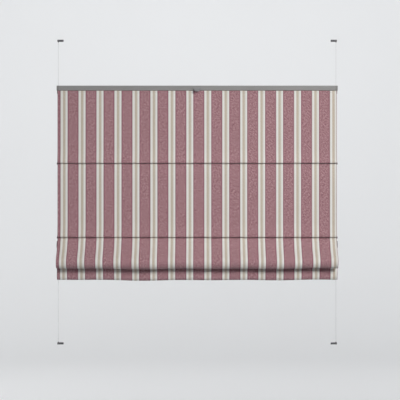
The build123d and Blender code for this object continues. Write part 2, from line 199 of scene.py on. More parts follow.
class Sheet:
    """A material's sheet of nodes."""

    def __init__(self, name: str) -> None:
        """Makes a material with an empty sheet.

        Args:
            name: The material's name.
        """
        self.material = bpy.data.materials.new(name)
        self.material.use_nodes = True
        self.tree = self.material.node_tree
        self.tree.nodes.clear()

    def node(self, kind: str, settings: dict | None = None, sockets: dict | None = None) -> bpy.types.Node:
        """Adds any node.

        Args:
            kind: The node's type.
            settings: The node's own settings; "stops" are a ramp's, as pairs of place and colour.
            sockets: Values or outputs by the input's name or number.

        Returns:
            The node.
        """
        node = self.tree.nodes.new(kind)
        for key, value in (settings or {}).items():
            if key == "stops":
                self._set_stops(node.color_ramp, value)
            else:
                setattr(node, key, value)
        for key, value in (sockets or {}).items():
            if isinstance(value, Flow):
                self.tree.links.new(value.socket, node.inputs[key])
            else:
                node.inputs[key].default_value = value
        return node

    @staticmethod
    def _set_stops(ramp: bpy.types.ColorRamp, stops: Sequence[tuple[float, Colour]]) -> None:
        """Gives a ramp its stops.

        Args:
            ramp: The ramp.
            stops: Pairs of place and colour.
        """
        while len(ramp.elements) < len(stops):
            ramp.elements.new(1.0)
        for element, (place, colour) in zip(ramp.elements, stops):
            element.position = place
            element.color = (*colour, 1.0)

    def ramp(self, value: Flow, stops: Sequence[tuple[float, Colour]]) -> Flow:
        """Turns a value into a colour by a ramp."""
        node = self.node("ShaderNodeValToRGB", {"stops": stops}, {"Fac": value})
        return Flow(self, node.outputs["Color"])

    def mix(self, share: Value, first: Flow | Colour, second: Flow | Colour, way: str = "MIX") -> Flow:
        """Mixes two colours.

        Args:
            share: How much of the second colour, from 0 to 1.
            first: The first colour.
            second: The second colour.
            way: The Mix node's blend type.

        Returns:
            The mixed colour.
        """
        a, b = (c if isinstance(c, Flow) else (*c, 1.0) for c in (first, second))
        node = self.node("ShaderNodeMix", {"data_type": "RGBA", "blend_type": way}, {0: share, 6: a, 7: b})
        return Flow(self, node.outputs[2])

    def grey(self, value: Flow) -> Flow:
        """Turns a value into a grey colour."""
        node = self.node("ShaderNodeCombineColor", sockets={0: value, 1: value, 2: value})
        return Flow(self, node.outputs[0])

    def place(self) -> Flow:
        """Returns the object's own coordinates."""
        return Flow(self, self.node("ShaderNodeTexCoord").outputs["Object"])

    def flat(self) -> Flow:
        """Returns the coordinates on the flat cloth."""
        return Flow(self, self.node("ShaderNodeUVMap", {"uv_map": "flat"}).outputs[0])

    def apart(self, vector: Flow) -> tuple[Flow, Flow, Flow]:
        """Splits a vector into its three parts."""
        node = self.node("ShaderNodeSeparateXYZ", sockets={0: vector})
        return tuple(Flow(self, node.outputs[i]) for i in range(3))

    def together(self, x: Value, y: Value, z: Value = 0.0) -> Flow:
        """Joins three values into a vector."""
        node = self.node("ShaderNodeCombineXYZ", sockets={0: x, 1: y, 2: z})
        return Flow(self, node.outputs[0])

    def noise(self, where: Flow, spots: Spot, detail: float, rough: float = 0.5) -> Flow:
        """Adds noise that is stretched along the axes.

        Args:
            where: The coordinates.
            spots: The noise's spots per metre along each axis.
            detail: The noise's octaves.
            rough: The weight of the finer octaves.

        Returns:
            The noise, from about 0 to 1.
        """
        scaled = self.node("ShaderNodeVectorMath", {"operation": "MULTIPLY"}, {0: where, 1: spots})
        sockets = {"Vector": Flow(self, scaled.outputs[0]), "Scale": 1.0, "Detail": detail, "Roughness": rough}
        return Flow(self, self.node("ShaderNodeTexNoise", sockets=sockets).outputs[0])

    def bump(self, height: Flow, depth: float, strength: float) -> Flow:
        """Adds a bump of the given depth in metres."""
        sockets = {"Height": height, "Distance": depth, "Strength": strength}
        return Flow(self, self.node("ShaderNodeBump", sockets=sockets).outputs[0])

    def surface(self, sockets: dict[str, Value]) -> bpy.types.Material:
        """Ends the sheet with its shader.

        Args:
            sockets: Values or outputs by the shader's input.

        Returns:
            The material.
        """
        shader = self.node("ShaderNodeBsdfPrincipled", sockets=sockets)
        output = self.node("ShaderNodeOutputMaterial", sockets={"Surface": Flow(self, shader.outputs[0])})
        self.tree.nodes.active = output
        return self.material


@dataclass(frozen=True, kw_only=True)
class Layer:
    """One layer of a finish, with its share in the colour, the roughness and the height."""

    tint: float = 0.0
    gloss: float = 0.0
    height: float = 0.0

    def draw(self, sheet: Sheet, where: Flow) -> Flow:
        """Draws the layer, from about 0 to 1."""
        raise NotImplementedError


@dataclass(frozen=True)
class Grain(Layer):
    """Noise of so many spots per metre along each axis."""

    spots: Spot
    detail: float = 2.0
    rough: float = 0.5

    def draw(self, sheet: Sheet, where: Flow) -> Flow:
        """Draws the noise."""
        return sheet.noise(where, self.spots, self.detail, self.rough)


@dataclass(frozen=True)
class Plait(Layer):
    """Two sets of strands that cross over each other round a cord."""

    strand: float = 0.0009
    lay: float = 0.0021

    def draw(self, sheet: Sheet, where: Flow) -> Flow:
        """Draws the strands.

        Args:
            sheet: The finish's sheet.
            where: The coordinates.

        Returns:
            The strands' height, from 0 to 1.
        """
        x, y, z = sheet.apart(where)
        turn, rise = (x + y) / self.strand, z / self.lay
        strands = (turn + rise).wave(1.0).maths("MAXIMUM", (turn - rise).wave(1.0))
        return strands * 0.5 + 0.5


@dataclass(frozen=True)
class Twist(Layer):
    """Yarns twisted into a thread."""

    lay: float = 0.00045

    def draw(self, sheet: Sheet, where: Flow) -> Flow:
        """Draws the yarns."""
        x, y, z = sheet.apart(where)
        return (x + y + z).wave(self.lay) * 0.5 + 0.5


@dataclass(frozen=True)
class Finish:
    """A finish in two shades of one colour, which its layers mix, roughen and raise."""

    name: str
    colour: Colour
    dark: float = 1.0
    light: float = 1.0
    roughness: float = 0.5
    depth: float = 0.00005
    relief: float = 0.5
    metallic: float = 0.0
    specular: float = 0.5
    sheen: float = 0.0
    layers: tuple[Layer, ...] = ()

    def shade(self, brightness: float) -> Colour:
        """Makes the colour darker or lighter."""
        return tuple(min(1.0, c * brightness) for c in self.colour)

    def build(self) -> bpy.types.Material:
        """Makes the material.

        Returns:
            The material.
        """
        sheet = Sheet(self.name)
        where = sheet.place()
        drawn = [(layer, layer.draw(sheet, where)) for layer in self.layers]
        tint = sum(flow * layer.tint for layer, flow in drawn if layer.tint)
        height = sum(flow * layer.height for layer, flow in drawn if layer.height)
        roughness = sum((flow.swing(layer.gloss) for layer, flow in drawn if layer.gloss), self.roughness)
        sockets = {
            "Base Color": sheet.mix(tint, self.shade(self.dark), self.shade(self.light)),
            "Roughness": roughness,
            "Metallic": self.metallic,
            "Specular IOR Level": self.specular,
            "Sheen Weight": self.sheen,
        }
        if isinstance(height, Flow):
            sockets["Normal"] = sheet.bump(height, self.depth, self.relief)
        return sheet.surface(sockets)


@dataclass(frozen=True)
class Coating(Finish):
    """Powder coat on extruded aluminium: fine orange peel over faint lines along the length."""

    dark: float = 0.88
    roughness: float = 0.42
    depth: float = 0.00006
    relief: float = 0.6
    metallic: float = 0.15
    layers: tuple[Layer, ...] = (
        Grain((3.0, 700.0, 700.0), detail=3.0, tint=0.45, height=0.4),
        Grain((900.0, 900.0, 900.0), gloss=0.16, height=0.6),
        Grain((9.0, 30.0, 30.0), tint=0.55, gloss=0.1),
    )


@dataclass(frozen=True)
class Moulding(Finish):
    """Moulded plastic with a fine spark-eroded grain and paler flow marks."""

    light: float = 1.16
    roughness: float = 0.52
    depth: float = 0.00007
    specular: float = 0.45
    layers: tuple[Layer, ...] = (
        Grain((1900.0, 1900.0, 1900.0), tint=0.3, gloss=0.2, height=1.0),
        Grain((120.0, 120.0, 45.0), detail=3.0, rough=0.6, tint=0.7, gloss=0.12),
    )


@dataclass(frozen=True)
class Metal(Finish):
    """Bare metal with fine tool marks and a little tarnish."""

    dark: float = 0.72
    roughness: float = 0.3
    depth: float = 0.00003
    metallic: float = 1.0
    layers: tuple[Layer, ...] = (
        Grain((2600.0, 300.0, 2600.0), detail=3.0, gloss=0.22, height=1.0),
        Grain((260.0, 260.0, 260.0), detail=3.0, rough=0.65, tint=1.0, gloss=0.18),
    )


@dataclass(frozen=True)
class Braid(Finish):
    """Thin braided cord."""

    dark: float = 0.62
    roughness: float = 0.7
    depth: float = 0.00012
    relief: float = 0.8
    specular: float = 0.3
    sheen: float = 0.1
    layers: tuple[Layer, ...] = (
        Plait(tint=0.75, height=1.0),
        Grain((4000.0, 4000.0, 700.0), tint=0.25, gloss=0.2, height=0.3),
    )


@dataclass(frozen=True)
class FibreRod(Finish):
    """Pultruded glass fibre: pale resin with fibres along the rod."""

    dark: float = 0.78
    roughness: float = 0.38
    depth: float = 0.00004
    layers: tuple[Layer, ...] = (
        Grain((25.0, 300.0, 300.0), detail=1.0, gloss=0.14),
        Grain((12.0, 3200.0, 3200.0), detail=3.0, rough=0.6, tint=1.0, gloss=0.1, height=1.0),
    )


@dataclass(frozen=True)
class Thread(Finish):
    """Twisted sewing thread."""

    name: str = "sewing_thread"
    colour: Colour = srgb(150, 104, 116)
    dark: float = 0.6
    roughness: float = 0.75
    depth: float = 0.00006
    relief: float = 0.6
    specular: float = 0.3
    sheen: float = 0.1
    layers: tuple[Layer, ...] = (
        Twist(tint=0.7, height=1.0),
        Grain((3500.0, 3500.0, 3500.0), detail=1.0, tint=0.3, gloss=0.2),
    )


@dataclass(frozen=True)
class Paper(Finish):
    """Plain pale studio paper."""

    name: str = "studio_paper"
    colour: Colour = (0.84, 0.85, 0.86)
    light: float = 1.02
    roughness: float = 0.9
    layers: tuple[Layer, ...] = (Grain((0.6, 0.6, 0.6), detail=1.0, tint=1.0),)


@dataclass(frozen=True)
class StripedCloth:
    """Woven cloth: heathered bands of burgundy, and cream stripes with a beige middle.

    The pattern's lengths are metres of flat cloth, and its spots are spots per metre.
    """

    name: str = "striped_cloth"
    repeat: float = 0.07541
    first_stripe: float = 0.0125
    stripe: float = 0.0302
    left_shade: float = 0.0035
    right_shade: float = 0.0034
    shade_end: float = 0.0042
    beige_from: float = 0.0103
    beige_to: float = 0.0200
    selvage: float = 0.0034
    edge_line: float = 0.0022
    blur: float = 0.0005
    band_blur: float = 0.0012
    cream: Colour = srgb(226, 226, 222)
    cream_shade: Colour = srgb(214, 213, 208)
    beige: Colour = srgb(195, 184, 168)
    wine: Colour = srgb(146, 99, 110)
    rose: Colour = srgb(182, 145, 150)
    burgundy: Colour = srgb(136, 92, 100)
    cloud_spots: Spot = (88.0, 150.0, 1.0)
    warp_spots: Spot = (1100.0, 130.0, 1.0)
    weft_spots: Spot = (130.0, 1100.0, 1.0)
    cloud_heather: float = 1.9
    thread_heather: float = 2.1
    cloud_streak: float = 0.2
    thread_streak: float = 0.34
    streaking: float = 0.55
    warp: float = 0.0013
    weft: float = 0.0011
    weave_height: float = 0.25
    thread_height: float = 0.9
    cloud_height: float = 0.3
    depth: float = 0.00025
    relief: float = 0.75
    roughness: float = 0.86
    thread_gloss: float = 0.18
    specular: float = 0.22
    sheen: float = 0.12
    sheen_roughness: float = 0.6

    def stops(self) -> list[tuple[float, Colour]]:
        """Lists the colours of one repeat, from a stripe's left edge, with wine for the whole band."""
        lines = [
            (0.0, self.wine), (self.blur, self.cream_shade),
            (self.left_shade, self.cream_shade), (self.shade_end, self.cream),
            (self.beige_from - self.blur, self.cream), (self.beige_from + self.blur, self.beige),
            (self.beige_to - self.blur, self.beige), (self.beige_to + self.blur, self.cream_shade),
            (self.beige_to + self.right_shade, self.cream_shade), (self.beige_to + self.shade_end, self.cream),
            (self.stripe - self.blur, self.cream), (self.stripe, self.wine), (self.repeat, self.wine),
        ]
        return [(place / self.repeat, colour) for place, colour in lines]

    def build(self, scale: float, margin: float, half: float) -> bpy.types.Material:
        """Makes the material.

        Args:
            scale: How many metres of flat cloth one unit of the UV map spans.
            margin: How far the cloth's left edge lies from the map's, in metres.
            half: Half of the finished cloth's width.

        Returns:
            The material.
        """
        sheet = Sheet(self.name)
        u, v, _ = sheet.apart(sheet.flat())
        across, along = u * scale, v * scale
        place = ((across - (margin + self.first_stripe)) / self.repeat).fraction() * self.repeat
        stripes = sheet.ramp(place / self.repeat, self.stops())

        # The band between the wine lines: 1 in it, 0 in the lines and the stripe
        rise = ((place - (self.stripe + self.selvage)) / self.band_blur).held()
        fall = (((self.repeat - self.selvage) - place) / self.band_blur).held()

        # Heather: slanting clouds, and short threads both ways
        clouds = sheet.noise(sheet.together(across + along, across - along), self.cloud_spots, detail=1.0)
        cloth = sheet.together(across, along)
        warp, weft = (sheet.noise(cloth, spots, detail=1.0) for spots in (self.warp_spots, self.weft_spots))
        threads = (warp + weft) * 0.5
        heather = (clouds.swing(self.cloud_heather) + threads.swing(self.thread_heather) + 0.5).held()
        colour = sheet.mix(rise * fall, stripes, sheet.mix(heather, self.burgundy, self.rose))

        # A wine line down both side edges, and a little streaking over everything
        from_edge = ((across - (margin + half)).size() - half).size()
        colour = sheet.mix(((self.edge_line - from_edge) / self.blur).held(), colour, self.wine)
        streaks = threads.swing(self.thread_streak) + clouds.swing(self.cloud_streak) + 0.5
        colour = sheet.mix(self.streaking, colour, sheet.grey(streaks), "OVERLAY")

        weave = across.wave(2.0 * self.warp) * along.wave(2.0 * self.weft)
        height = weave * self.weave_height + threads * self.thread_height + clouds * self.cloud_height
        return sheet.surface({
            "Base Color": colour,
            "Roughness": self.roughness + threads.swing(self.thread_gloss),
            "Normal": sheet.bump(height, self.depth, self.relief),
            "Specular IOR Level": self.specular,
            "Sheen Weight": self.sheen,
            "Sheen Roughness": self.sheen_roughness,
        })


def arc(centre: Sequence[float], radius: float, start: float, sweep: float, step: float = 6.0) -> np.ndarray:
    """Lists points on an arc in section.

    Args:
        centre: The arc's centre, as y and z.
        radius: Its radius.
        start: The angle of its first point, in degrees from +Y towards +Z.
        sweep: How far it turns, in degrees.
        step: The largest turn between two points, in degrees.

    Returns:
        The points, one row each.
    """
    count = max(2, int(math.ceil(abs(sweep) / step)) + 1)
    angles = np.radians(np.linspace(start, start + sweep, count))
    return np.stack([centre[0] + radius * np.cos(angles), centre[1] + radius * np.sin(angles)], axis=1)


def flowing(
    places: Outline, first_way: Sequence[float], last_way: Sequence[float], steps: int = 24
) -> np.ndarray:
    """Lists points on a smooth curve through given places, with its direction set at both ends.

    Args:
        places: The places that the curve passes.
        first_way: The direction in which it starts.
        last_way: The direction in which it ends.
        steps: How many points to make between two given ones.

    Returns:
        The curve's points, one row each.
    """
    points = np.array(places)
    spans = np.linalg.norm(np.diff(points, axis=0), axis=1)
    count = len(points)
    system = np.eye(count)
    slopes = np.zeros((count, 2))
    slopes[0], slopes[-1] = first_way, last_way
    for i in range(1, count - 1):
        before, after = spans[i - 1], spans[i]
        system[i, i - 1: i + 2] = (after, 2.0 * (before + after), before)
        slopes[i] = 3.0 * (
            after / before * (points[i] - points[i - 1]) + before / after * (points[i + 1] - points[i])
        )
    slopes = np.linalg.solve(system, slopes)
    t = np.linspace(0.0, 1.0, steps, endpoint=False)[:, None]
    curve = [
        (2 * t**3 - 3 * t**2 + 1) * points[i] + (t**3 - 2 * t**2 + t) * spans[i] * slopes[i]
        + (3 * t**2 - 2 * t**3) * points[i + 1] + (t**3 - t**2) * spans[i] * slopes[i + 1]
        for i in range(count - 1)
    ]
    return np.concatenate([*curve, points[-1:]])


def lengths_along(points: np.ndarray) -> np.ndarray:
    """Adds up the distances from point to point."""
    return np.concatenate([[0.0], np.cumsum(np.linalg.norm(np.diff(points, axis=0), axis=1))])


class End(Enum):
    """The cloth's two ends, each held by a rail."""

    TOP = "top"
    BOTTOM = "bottom"

    @property
    def carriage(self) -> str:
        """Names the body that moves with this end's rail."""
        return f"{self.value}_carriage"


class Row(Enum):
    """The three rods, from the top."""

    UPPER = "upper"
    MIDDLE = "middle"
    LOWER = "lower"

    @property
    def end(self) -> End:
        """Tells which rail the rod moves with."""
        return End.BOTTOM if self is Row.LOWER else End.TOP


class Run(Enum):
    """The runs of the cloth's line, from its upper edge."""

    TOP_EDGE = "top edge"
    UPPER_CREASE = "upper crease"
    UPPER_POCKET = "upper pocket"
    UPPER_TUCK = "upper tuck"
    MIDDLE_CREASE = "middle crease"
    MIDDLE_POCKET = "middle pocket"
    FRONT_FOLD = "front fold"
    OUTER_BEND = "outer bend"
    LOWER_POCKET = "lower pocket"
    INNER_BEND = "inner bend"
    REAR_FOLD = "rear fold"
    BOTTOM_EDGE = "bottom edge"


# Each rod's pocket, and the run that follows it
POCKETS = {
    Row.UPPER: (Run.UPPER_POCKET, Run.UPPER_TUCK),
    Row.MIDDLE: (Run.MIDDLE_POCKET, Run.FRONT_FOLD),
    Row.LOWER: (Run.LOWER_POCKET, Run.INNER_BEND),
}


@dataclass
class FoldLine:
    """The line of the cloth in section, from its upper edge round both keders, all rods and both folds.

    Lengths are in metres. Outlines are given forward of the flat cloth, the lip and the tuck above a rod's
    middle and the folds below the middle rod's. The wrap round a keder and the sharpest turn between two rows
    are in degrees, keder_clear counts keder radii, and rounding counts points of the fine line.
    """

    layer: float = 0.00042
    crease_radius: float = 0.0035
    pocket_radius: float = 0.00275
    keder_radius: float = 0.00145
    keder_drop: float = 0.0029
    keder_wrap: float = 225.0
    keder_clear: float = 1.4
    edge_layer: float = 0.00078
    edge_fold: float = 0.012
    lower_run: float = 0.006
    inner_bend: float = 0.0026
    outer_bend: float = 0.0049
    fine: float = 0.00025
    rounding: int = 3
    longest: float = 0.007
    sharpest: float = 15.0
    lip_start: float = 0.060
    lip: Outline = ((0.0022, 0.0360), (0.0052, 0.0170), (0.0069, 0.0082), (0.0062, 0.0030), (0.0015, 0.0008))
    tuck: Outline = ((-0.0031, -0.0020), (-0.0031, -0.0060), (-0.0026, -0.0130), (-0.0013, -0.0270))
    tuck_end: float = 0.055
    tuck_way: tuple[float, float] = (-math.sqrt(0.5), -math.sqrt(0.5))
    front_fold: Outline = (
        (0.0042, 0.0135), (0.0150, 0.0300), (0.0225, 0.0430), (0.0425, 0.0620), (0.0628, 0.0790),
        (0.0748, 0.0955), (0.0745, 0.1110), (0.0655, 0.1235), (0.0520, 0.1284), (0.0400, 0.1212),
        (0.0305, 0.1020), (0.0180, 0.0680), (0.0115, 0.0460),
    )
    rear_fold: Outline = (
        (0.0070, 0.0420), (0.0125, 0.0750), (0.0208, 0.1130), (0.0280, 0.1450), (0.0288, 0.1610),
        (0.0256, 0.1716), (0.0186, 0.1774), (0.0112, 0.1690), (0.0040, 0.1200),
    )
    marks: dict[Run, float] = field(default_factory=dict)

    def __post_init__(self) -> None:
        """Reads the rods', keders' and rails' places and draws the line."""
        self.rods = {row: middle_of(f"{row.value}_rod").z for row in Row}
        self.flat_y = middle_of("top_keder").y
        self.pinch_y = self.flat_y + self.crease_radius
        self.keders = {end: middle_of(f"{end.value}_keder").z for end in End}
        self.mouths = {end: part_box(f"{end.value}_rail")[0].z for end in End}
        self._smooth(self._runs())

    def _edge(self, end: End) -> np.ndarray:
        """Draws the turn round a keder.

        Args:
            end: The cloth's end.

        Returns:
            The points, from the folded edge to the end of the panel.
        """
        keder = self.keders[end]
        start = -math.degrees(math.acos(self.edge_layer / self.keder_radius))
        back_y = self.flat_y + self.edge_layer
        clear = keder - self.keder_radius * self.keder_clear
        tail = [(back_y, self.mouths[end] - self.edge_fold), (back_y, clear)]
        turn = arc((self.flat_y, keder), self.keder_radius, start, self.keder_wrap - start)
        return np.concatenate([tail, turn, [(self.flat_y, keder - self.keder_drop)]])

    def _pocket(self, row: Row) -> np.ndarray:
        """Draws the turn round a rod.

        Args:
            row: The rod.

        Returns:
            The points, from the pinch above the rod to the pinch below.
        """
        reach = math.hypot(self.pinch_y, self.layer)
        rise = math.degrees(math.atan2(self.layer, -self.pinch_y) + math.acos(self.pocket_radius / reach))
        turn = arc((0.0, self.rods[row]), self.pocket_radius, 180.0 - rise, 2.0 * rise - 360.0)
        above, below = ([(self.pinch_y, self.rods[row] + side * self.layer)] for side in (1, -1))
        return np.concatenate([above, turn, below])

    def _forward(self, outline: Outline, height: float, side: int = 1) -> list[tuple[float, float]]:
        """Sets out an outline forward of the flat cloth, above a height or, with side -1, below it."""
        return [(self.flat_y - forward, height + side * rise) for forward, rise in outline]

    def _crease(self, row: Row) -> np.ndarray:
        """Draws the lip that stands out above a rod and turns back into its pinch.

        Args:
            row: The rod.

        Returns:
            The points, from the flat panel to the pinch.
        """
        z = self.rods[row]
        start, pinch = (self.flat_y, z + self.lip_start), (self.pinch_y, z + self.layer)
        return flowing([start, *self._forward(self.lip, z), pinch], DOWN, BACK)

    def _tuck(self) -> np.ndarray:
        """Draws the tuck below the upper rod.

        Returns:
            The points, from the pinch to the flat panel.
        """
        z = self.rods[Row.UPPER]
        pinch, end = (self.pinch_y, z - self.layer), (self.flat_y, z - self.tuck_end)
        return flowing([pinch, *self._forward(self.tuck, z), end], self.tuck_way, DOWN)

    def _runs(self) -> dict[Run, np.ndarray]:
        """Draws all runs of the line.

        Returns:
            The runs' points, in order.
        """
        middle, lower = self.rods[Row.MIDDLE], self.rods[Row.LOWER]
        bend_y = self.pinch_y - self.lower_run
        outer = (bend_y, lower + self.layer - self.outer_bend)
        inner = (bend_y, lower - self.layer - self.inner_bend)
        front = [
            (self.pinch_y, middle - self.layer), *self._forward(self.tuck[:2], middle),
            *self._forward(self.front_fold, middle, -1), (bend_y - self.outer_bend, outer[1]),
        ]
        rear = [
            (bend_y - self.inner_bend, inner[1]), *self._forward(self.rear_fold, middle, -1),
            (self.flat_y, self.mouths[End.BOTTOM]),
        ]
        return {
            Run.TOP_EDGE: self._edge(End.TOP),
            Run.UPPER_CREASE: self._crease(Row.UPPER),
            Run.UPPER_POCKET: self._pocket(Row.UPPER),
            Run.UPPER_TUCK: self._tuck(),
            Run.MIDDLE_CREASE: self._crease(Row.MIDDLE),
            Run.MIDDLE_POCKET: self._pocket(Row.MIDDLE),
            Run.FRONT_FOLD: flowing(front, self.tuck_way, UP),
            Run.OUTER_BEND: arc(outer, self.outer_bend, 180.0, -90.0),
            Run.LOWER_POCKET: self._pocket(Row.LOWER),
            Run.INNER_BEND: arc(inner, self.inner_bend, 90.0, 90.0),
            Run.REAR_FOLD: flowing(rear, DOWN, UP),
            Run.BOTTOM_EDGE: self._edge(End.BOTTOM)[::-1],
        }

    def _smooth(self, runs: dict[Run, np.ndarray]) -> None:
        """Resamples the runs, rounds their corners and keeps where each one starts.

        Args:
            runs: The runs' points.
        """
        points = np.concatenate(list(runs.values()))
        lengths = lengths_along(points)
        keep = np.concatenate([[True], np.diff(lengths) > TOUCH])
        even = np.arange(0.0, lengths[-1], self.fine)
        line = np.stack([np.interp(even, lengths[keep], points[keep, i]) for i in (0, 1)], axis=1)
        wide = 2 * self.rounding + 1
        for _ in range(2):
            padded = np.pad(line, ((self.rounding, self.rounding), (0, 0)), mode="reflect", reflect_type="odd")
            line = sum(padded[i: i + len(line)] for i in range(wide)) / wide
        self.line = line
        self.arcs = lengths_along(line)
        self.length = float(self.arcs[-1])
        ways = np.gradient(line, axis=0)
        self.ways = ways / np.linalg.norm(ways, axis=1)[:, None]
        starts = np.cumsum([0, *(len(run) for run in runs.values())])
        for run, start in zip(runs, starts):
            self.marks[run] = float(lengths[start] * self.length / lengths[-1])

    def at(self, along: np.ndarray) -> tuple[np.ndarray, np.ndarray]:
        """Finds points of the line.

        Args:
            along: Distances from the line's start.

        Returns:
            The points and the line's directions there, one row each.
        """
        points = np.stack([np.interp(along, self.arcs, self.line[:, i]) for i in (0, 1)], axis=1)
        ways = np.stack([np.interp(along, self.arcs, self.ways[:, i]) for i in (0, 1)], axis=1)
        return points, ways / np.linalg.norm(ways, axis=1)[:, None]

    def rows(self) -> np.ndarray:
        """Spaces the cloth's rows of points, closer where it turns.

        Returns:
            The rows' distances from the line's start.
        """
        angles = np.degrees(np.unwrap(np.arctan2(self.ways[:, 1], self.ways[:, 0])))
        turned = np.concatenate([[0.0], np.cumsum(np.abs(np.diff(angles)))])
        chosen = [0]
        for i in range(1, len(self.arcs)):
            far = self.arcs[i] - self.arcs[chosen[-1]] >= self.longest
            sharp = turned[i] - turned[chosen[-1]] >= self.sharpest
            if far or sharp:
                chosen.append(i)
        chosen.append(len(self.arcs) - 1)
        return self.arcs[chosen]


@dataclass(frozen=True)
class Ripple:
    """Sines across the cloth, with their lengths in metres and their phases."""

    lengths: tuple[float, ...]
    phases: tuple[float, ...]

    def at(self, x: np.ndarray) -> np.ndarray:
        """Adds up the sines, to about 1."""
        sines = [np.sin(FULL_TURN * x / length + phase) for length, phase in zip(self.lengths, self.phases)]
        return sum(sines) / len(sines)


@dataclass
class Hang:
    """How the cloth hangs out of true: shallow waves in the panels and an uneven droop in the folds.

    The panels are held flat near the rail and the rods, and pucker just beside their seams.
    """

    line: FoldLine
    swell: float = 0.0010
    swell_ripple: Ripple = Ripple((0.31, 0.173, 0.52), (0.4, 2.1, 4.0))
    lean: float = 0.03
    lean_rate: float = 9.0
    pucker: float = 0.00030
    pucker_ripple: Ripple = Ripple((0.047, 0.031, 0.067), (1.0, 3.3, 5.2))
    pucker_from: float = 0.006
    pucker_rise: float = 0.004
    pucker_fade: float = 0.012
    rail_hold: float = 0.03
    flat_to: float = 0.012
    swell_rise: float = 0.07
    fold_swell: float = 0.045
    fold_ripple: Ripple = Ripple((0.74, 0.38, 0.205), (5.3, 0.7, 2.4))
    fold_droop: float = 0.0030
    droop_ripple: Ripple = Ripple((1.02, 0.55, 0.29), (2.2, 4.4, 0.3))
    fold_from: float = 0.03
    fold_rise: float = 0.09
    travel_margin: float = 0.004
    travel_lag: float = 0.06

    def share(self, along: np.ndarray) -> np.ndarray:
        """Tells how much of the lower rail's travel the cloth follows.

        Args:
            along: Distances along the cloth.

        Returns:
            0 down to the middle rod, 1 from the lower rod, and a smooth rise through the front fold.
        """
        start = self.line.marks[Run.FRONT_FOLD] + self.travel_margin
        end = self.line.marks[Run.OUTER_BEND] - self.travel_margin
        t = np.clip((along - start) / (end - start), 0.0, 1.0)
        return t - self.travel_lag * np.sin(FULL_TURN * t)

    def _off_panel(self, x: np.ndarray, along: np.ndarray) -> np.ndarray:
        """Works out how far the panels stand off their line.

        Args:
            x: Places across the cloth.
            along: Distances along it.

        Returns:
            The distances, positive towards the back where the cloth runs down.
        """
        marks = self.line.marks
        seams = [marks[run] for run in (Run.UPPER_POCKET, Run.UPPER_TUCK, Run.MIDDLE_POCKET)]
        held = np.array([marks[Run.TOP_EDGE] + self.rail_hold, *seams])
        near = np.min(np.abs(along[:, None] - held[None, :]), axis=1)
        free = np.clip((near - self.flat_to) / self.swell_rise, 0.0, 1.0)
        free = free * free * (3.0 - 2.0 * free)
        beside = near - self.pucker_from
        fade = np.exp(-np.clip(beside, 0.0, 1.0) / self.pucker_fade)
        pinched = fade * np.clip(beside / self.pucker_rise, 0.0, 1.0)
        waves = self.swell_ripple.at(x + self.lean * np.sin(along * self.lean_rate))
        return self.swell * free * waves + self.pucker * pinched * self.pucker_ripple.at(x)

    def bend(self, points: np.ndarray, along: np.ndarray, ways: np.ndarray) -> np.ndarray:
        """Moves points of the true cloth to where it hangs.

        Args:
            points: The points, one row of x, y and z each.
            along: Their distances along the cloth.
            ways: The line's directions there, as y and z.

        Returns:
            The moved points.
        """
        x = points[:, 0]
        folded = along >= self.line.marks[Run.FRONT_FOLD]
        out = np.where(folded, 0.0, self._off_panel(x, along))
        forward = np.clip(self.line.flat_y - points[:, 1], 0.0, 1.0)
        below = self.line.rods[Row.MIDDLE] - self.fold_from - points[:, 2]
        depth = folded * np.clip(below / self.fold_rise, 0.0, 1.0)
        moved = points.copy()
        moved[:, 1] -= out * ways[:, 1] + depth * forward * self.fold_swell * self.fold_ripple.at(x)
        moved[:, 2] += out * ways[:, 0] - depth * self.fold_droop * self.droop_ripple.at(x)
        return moved


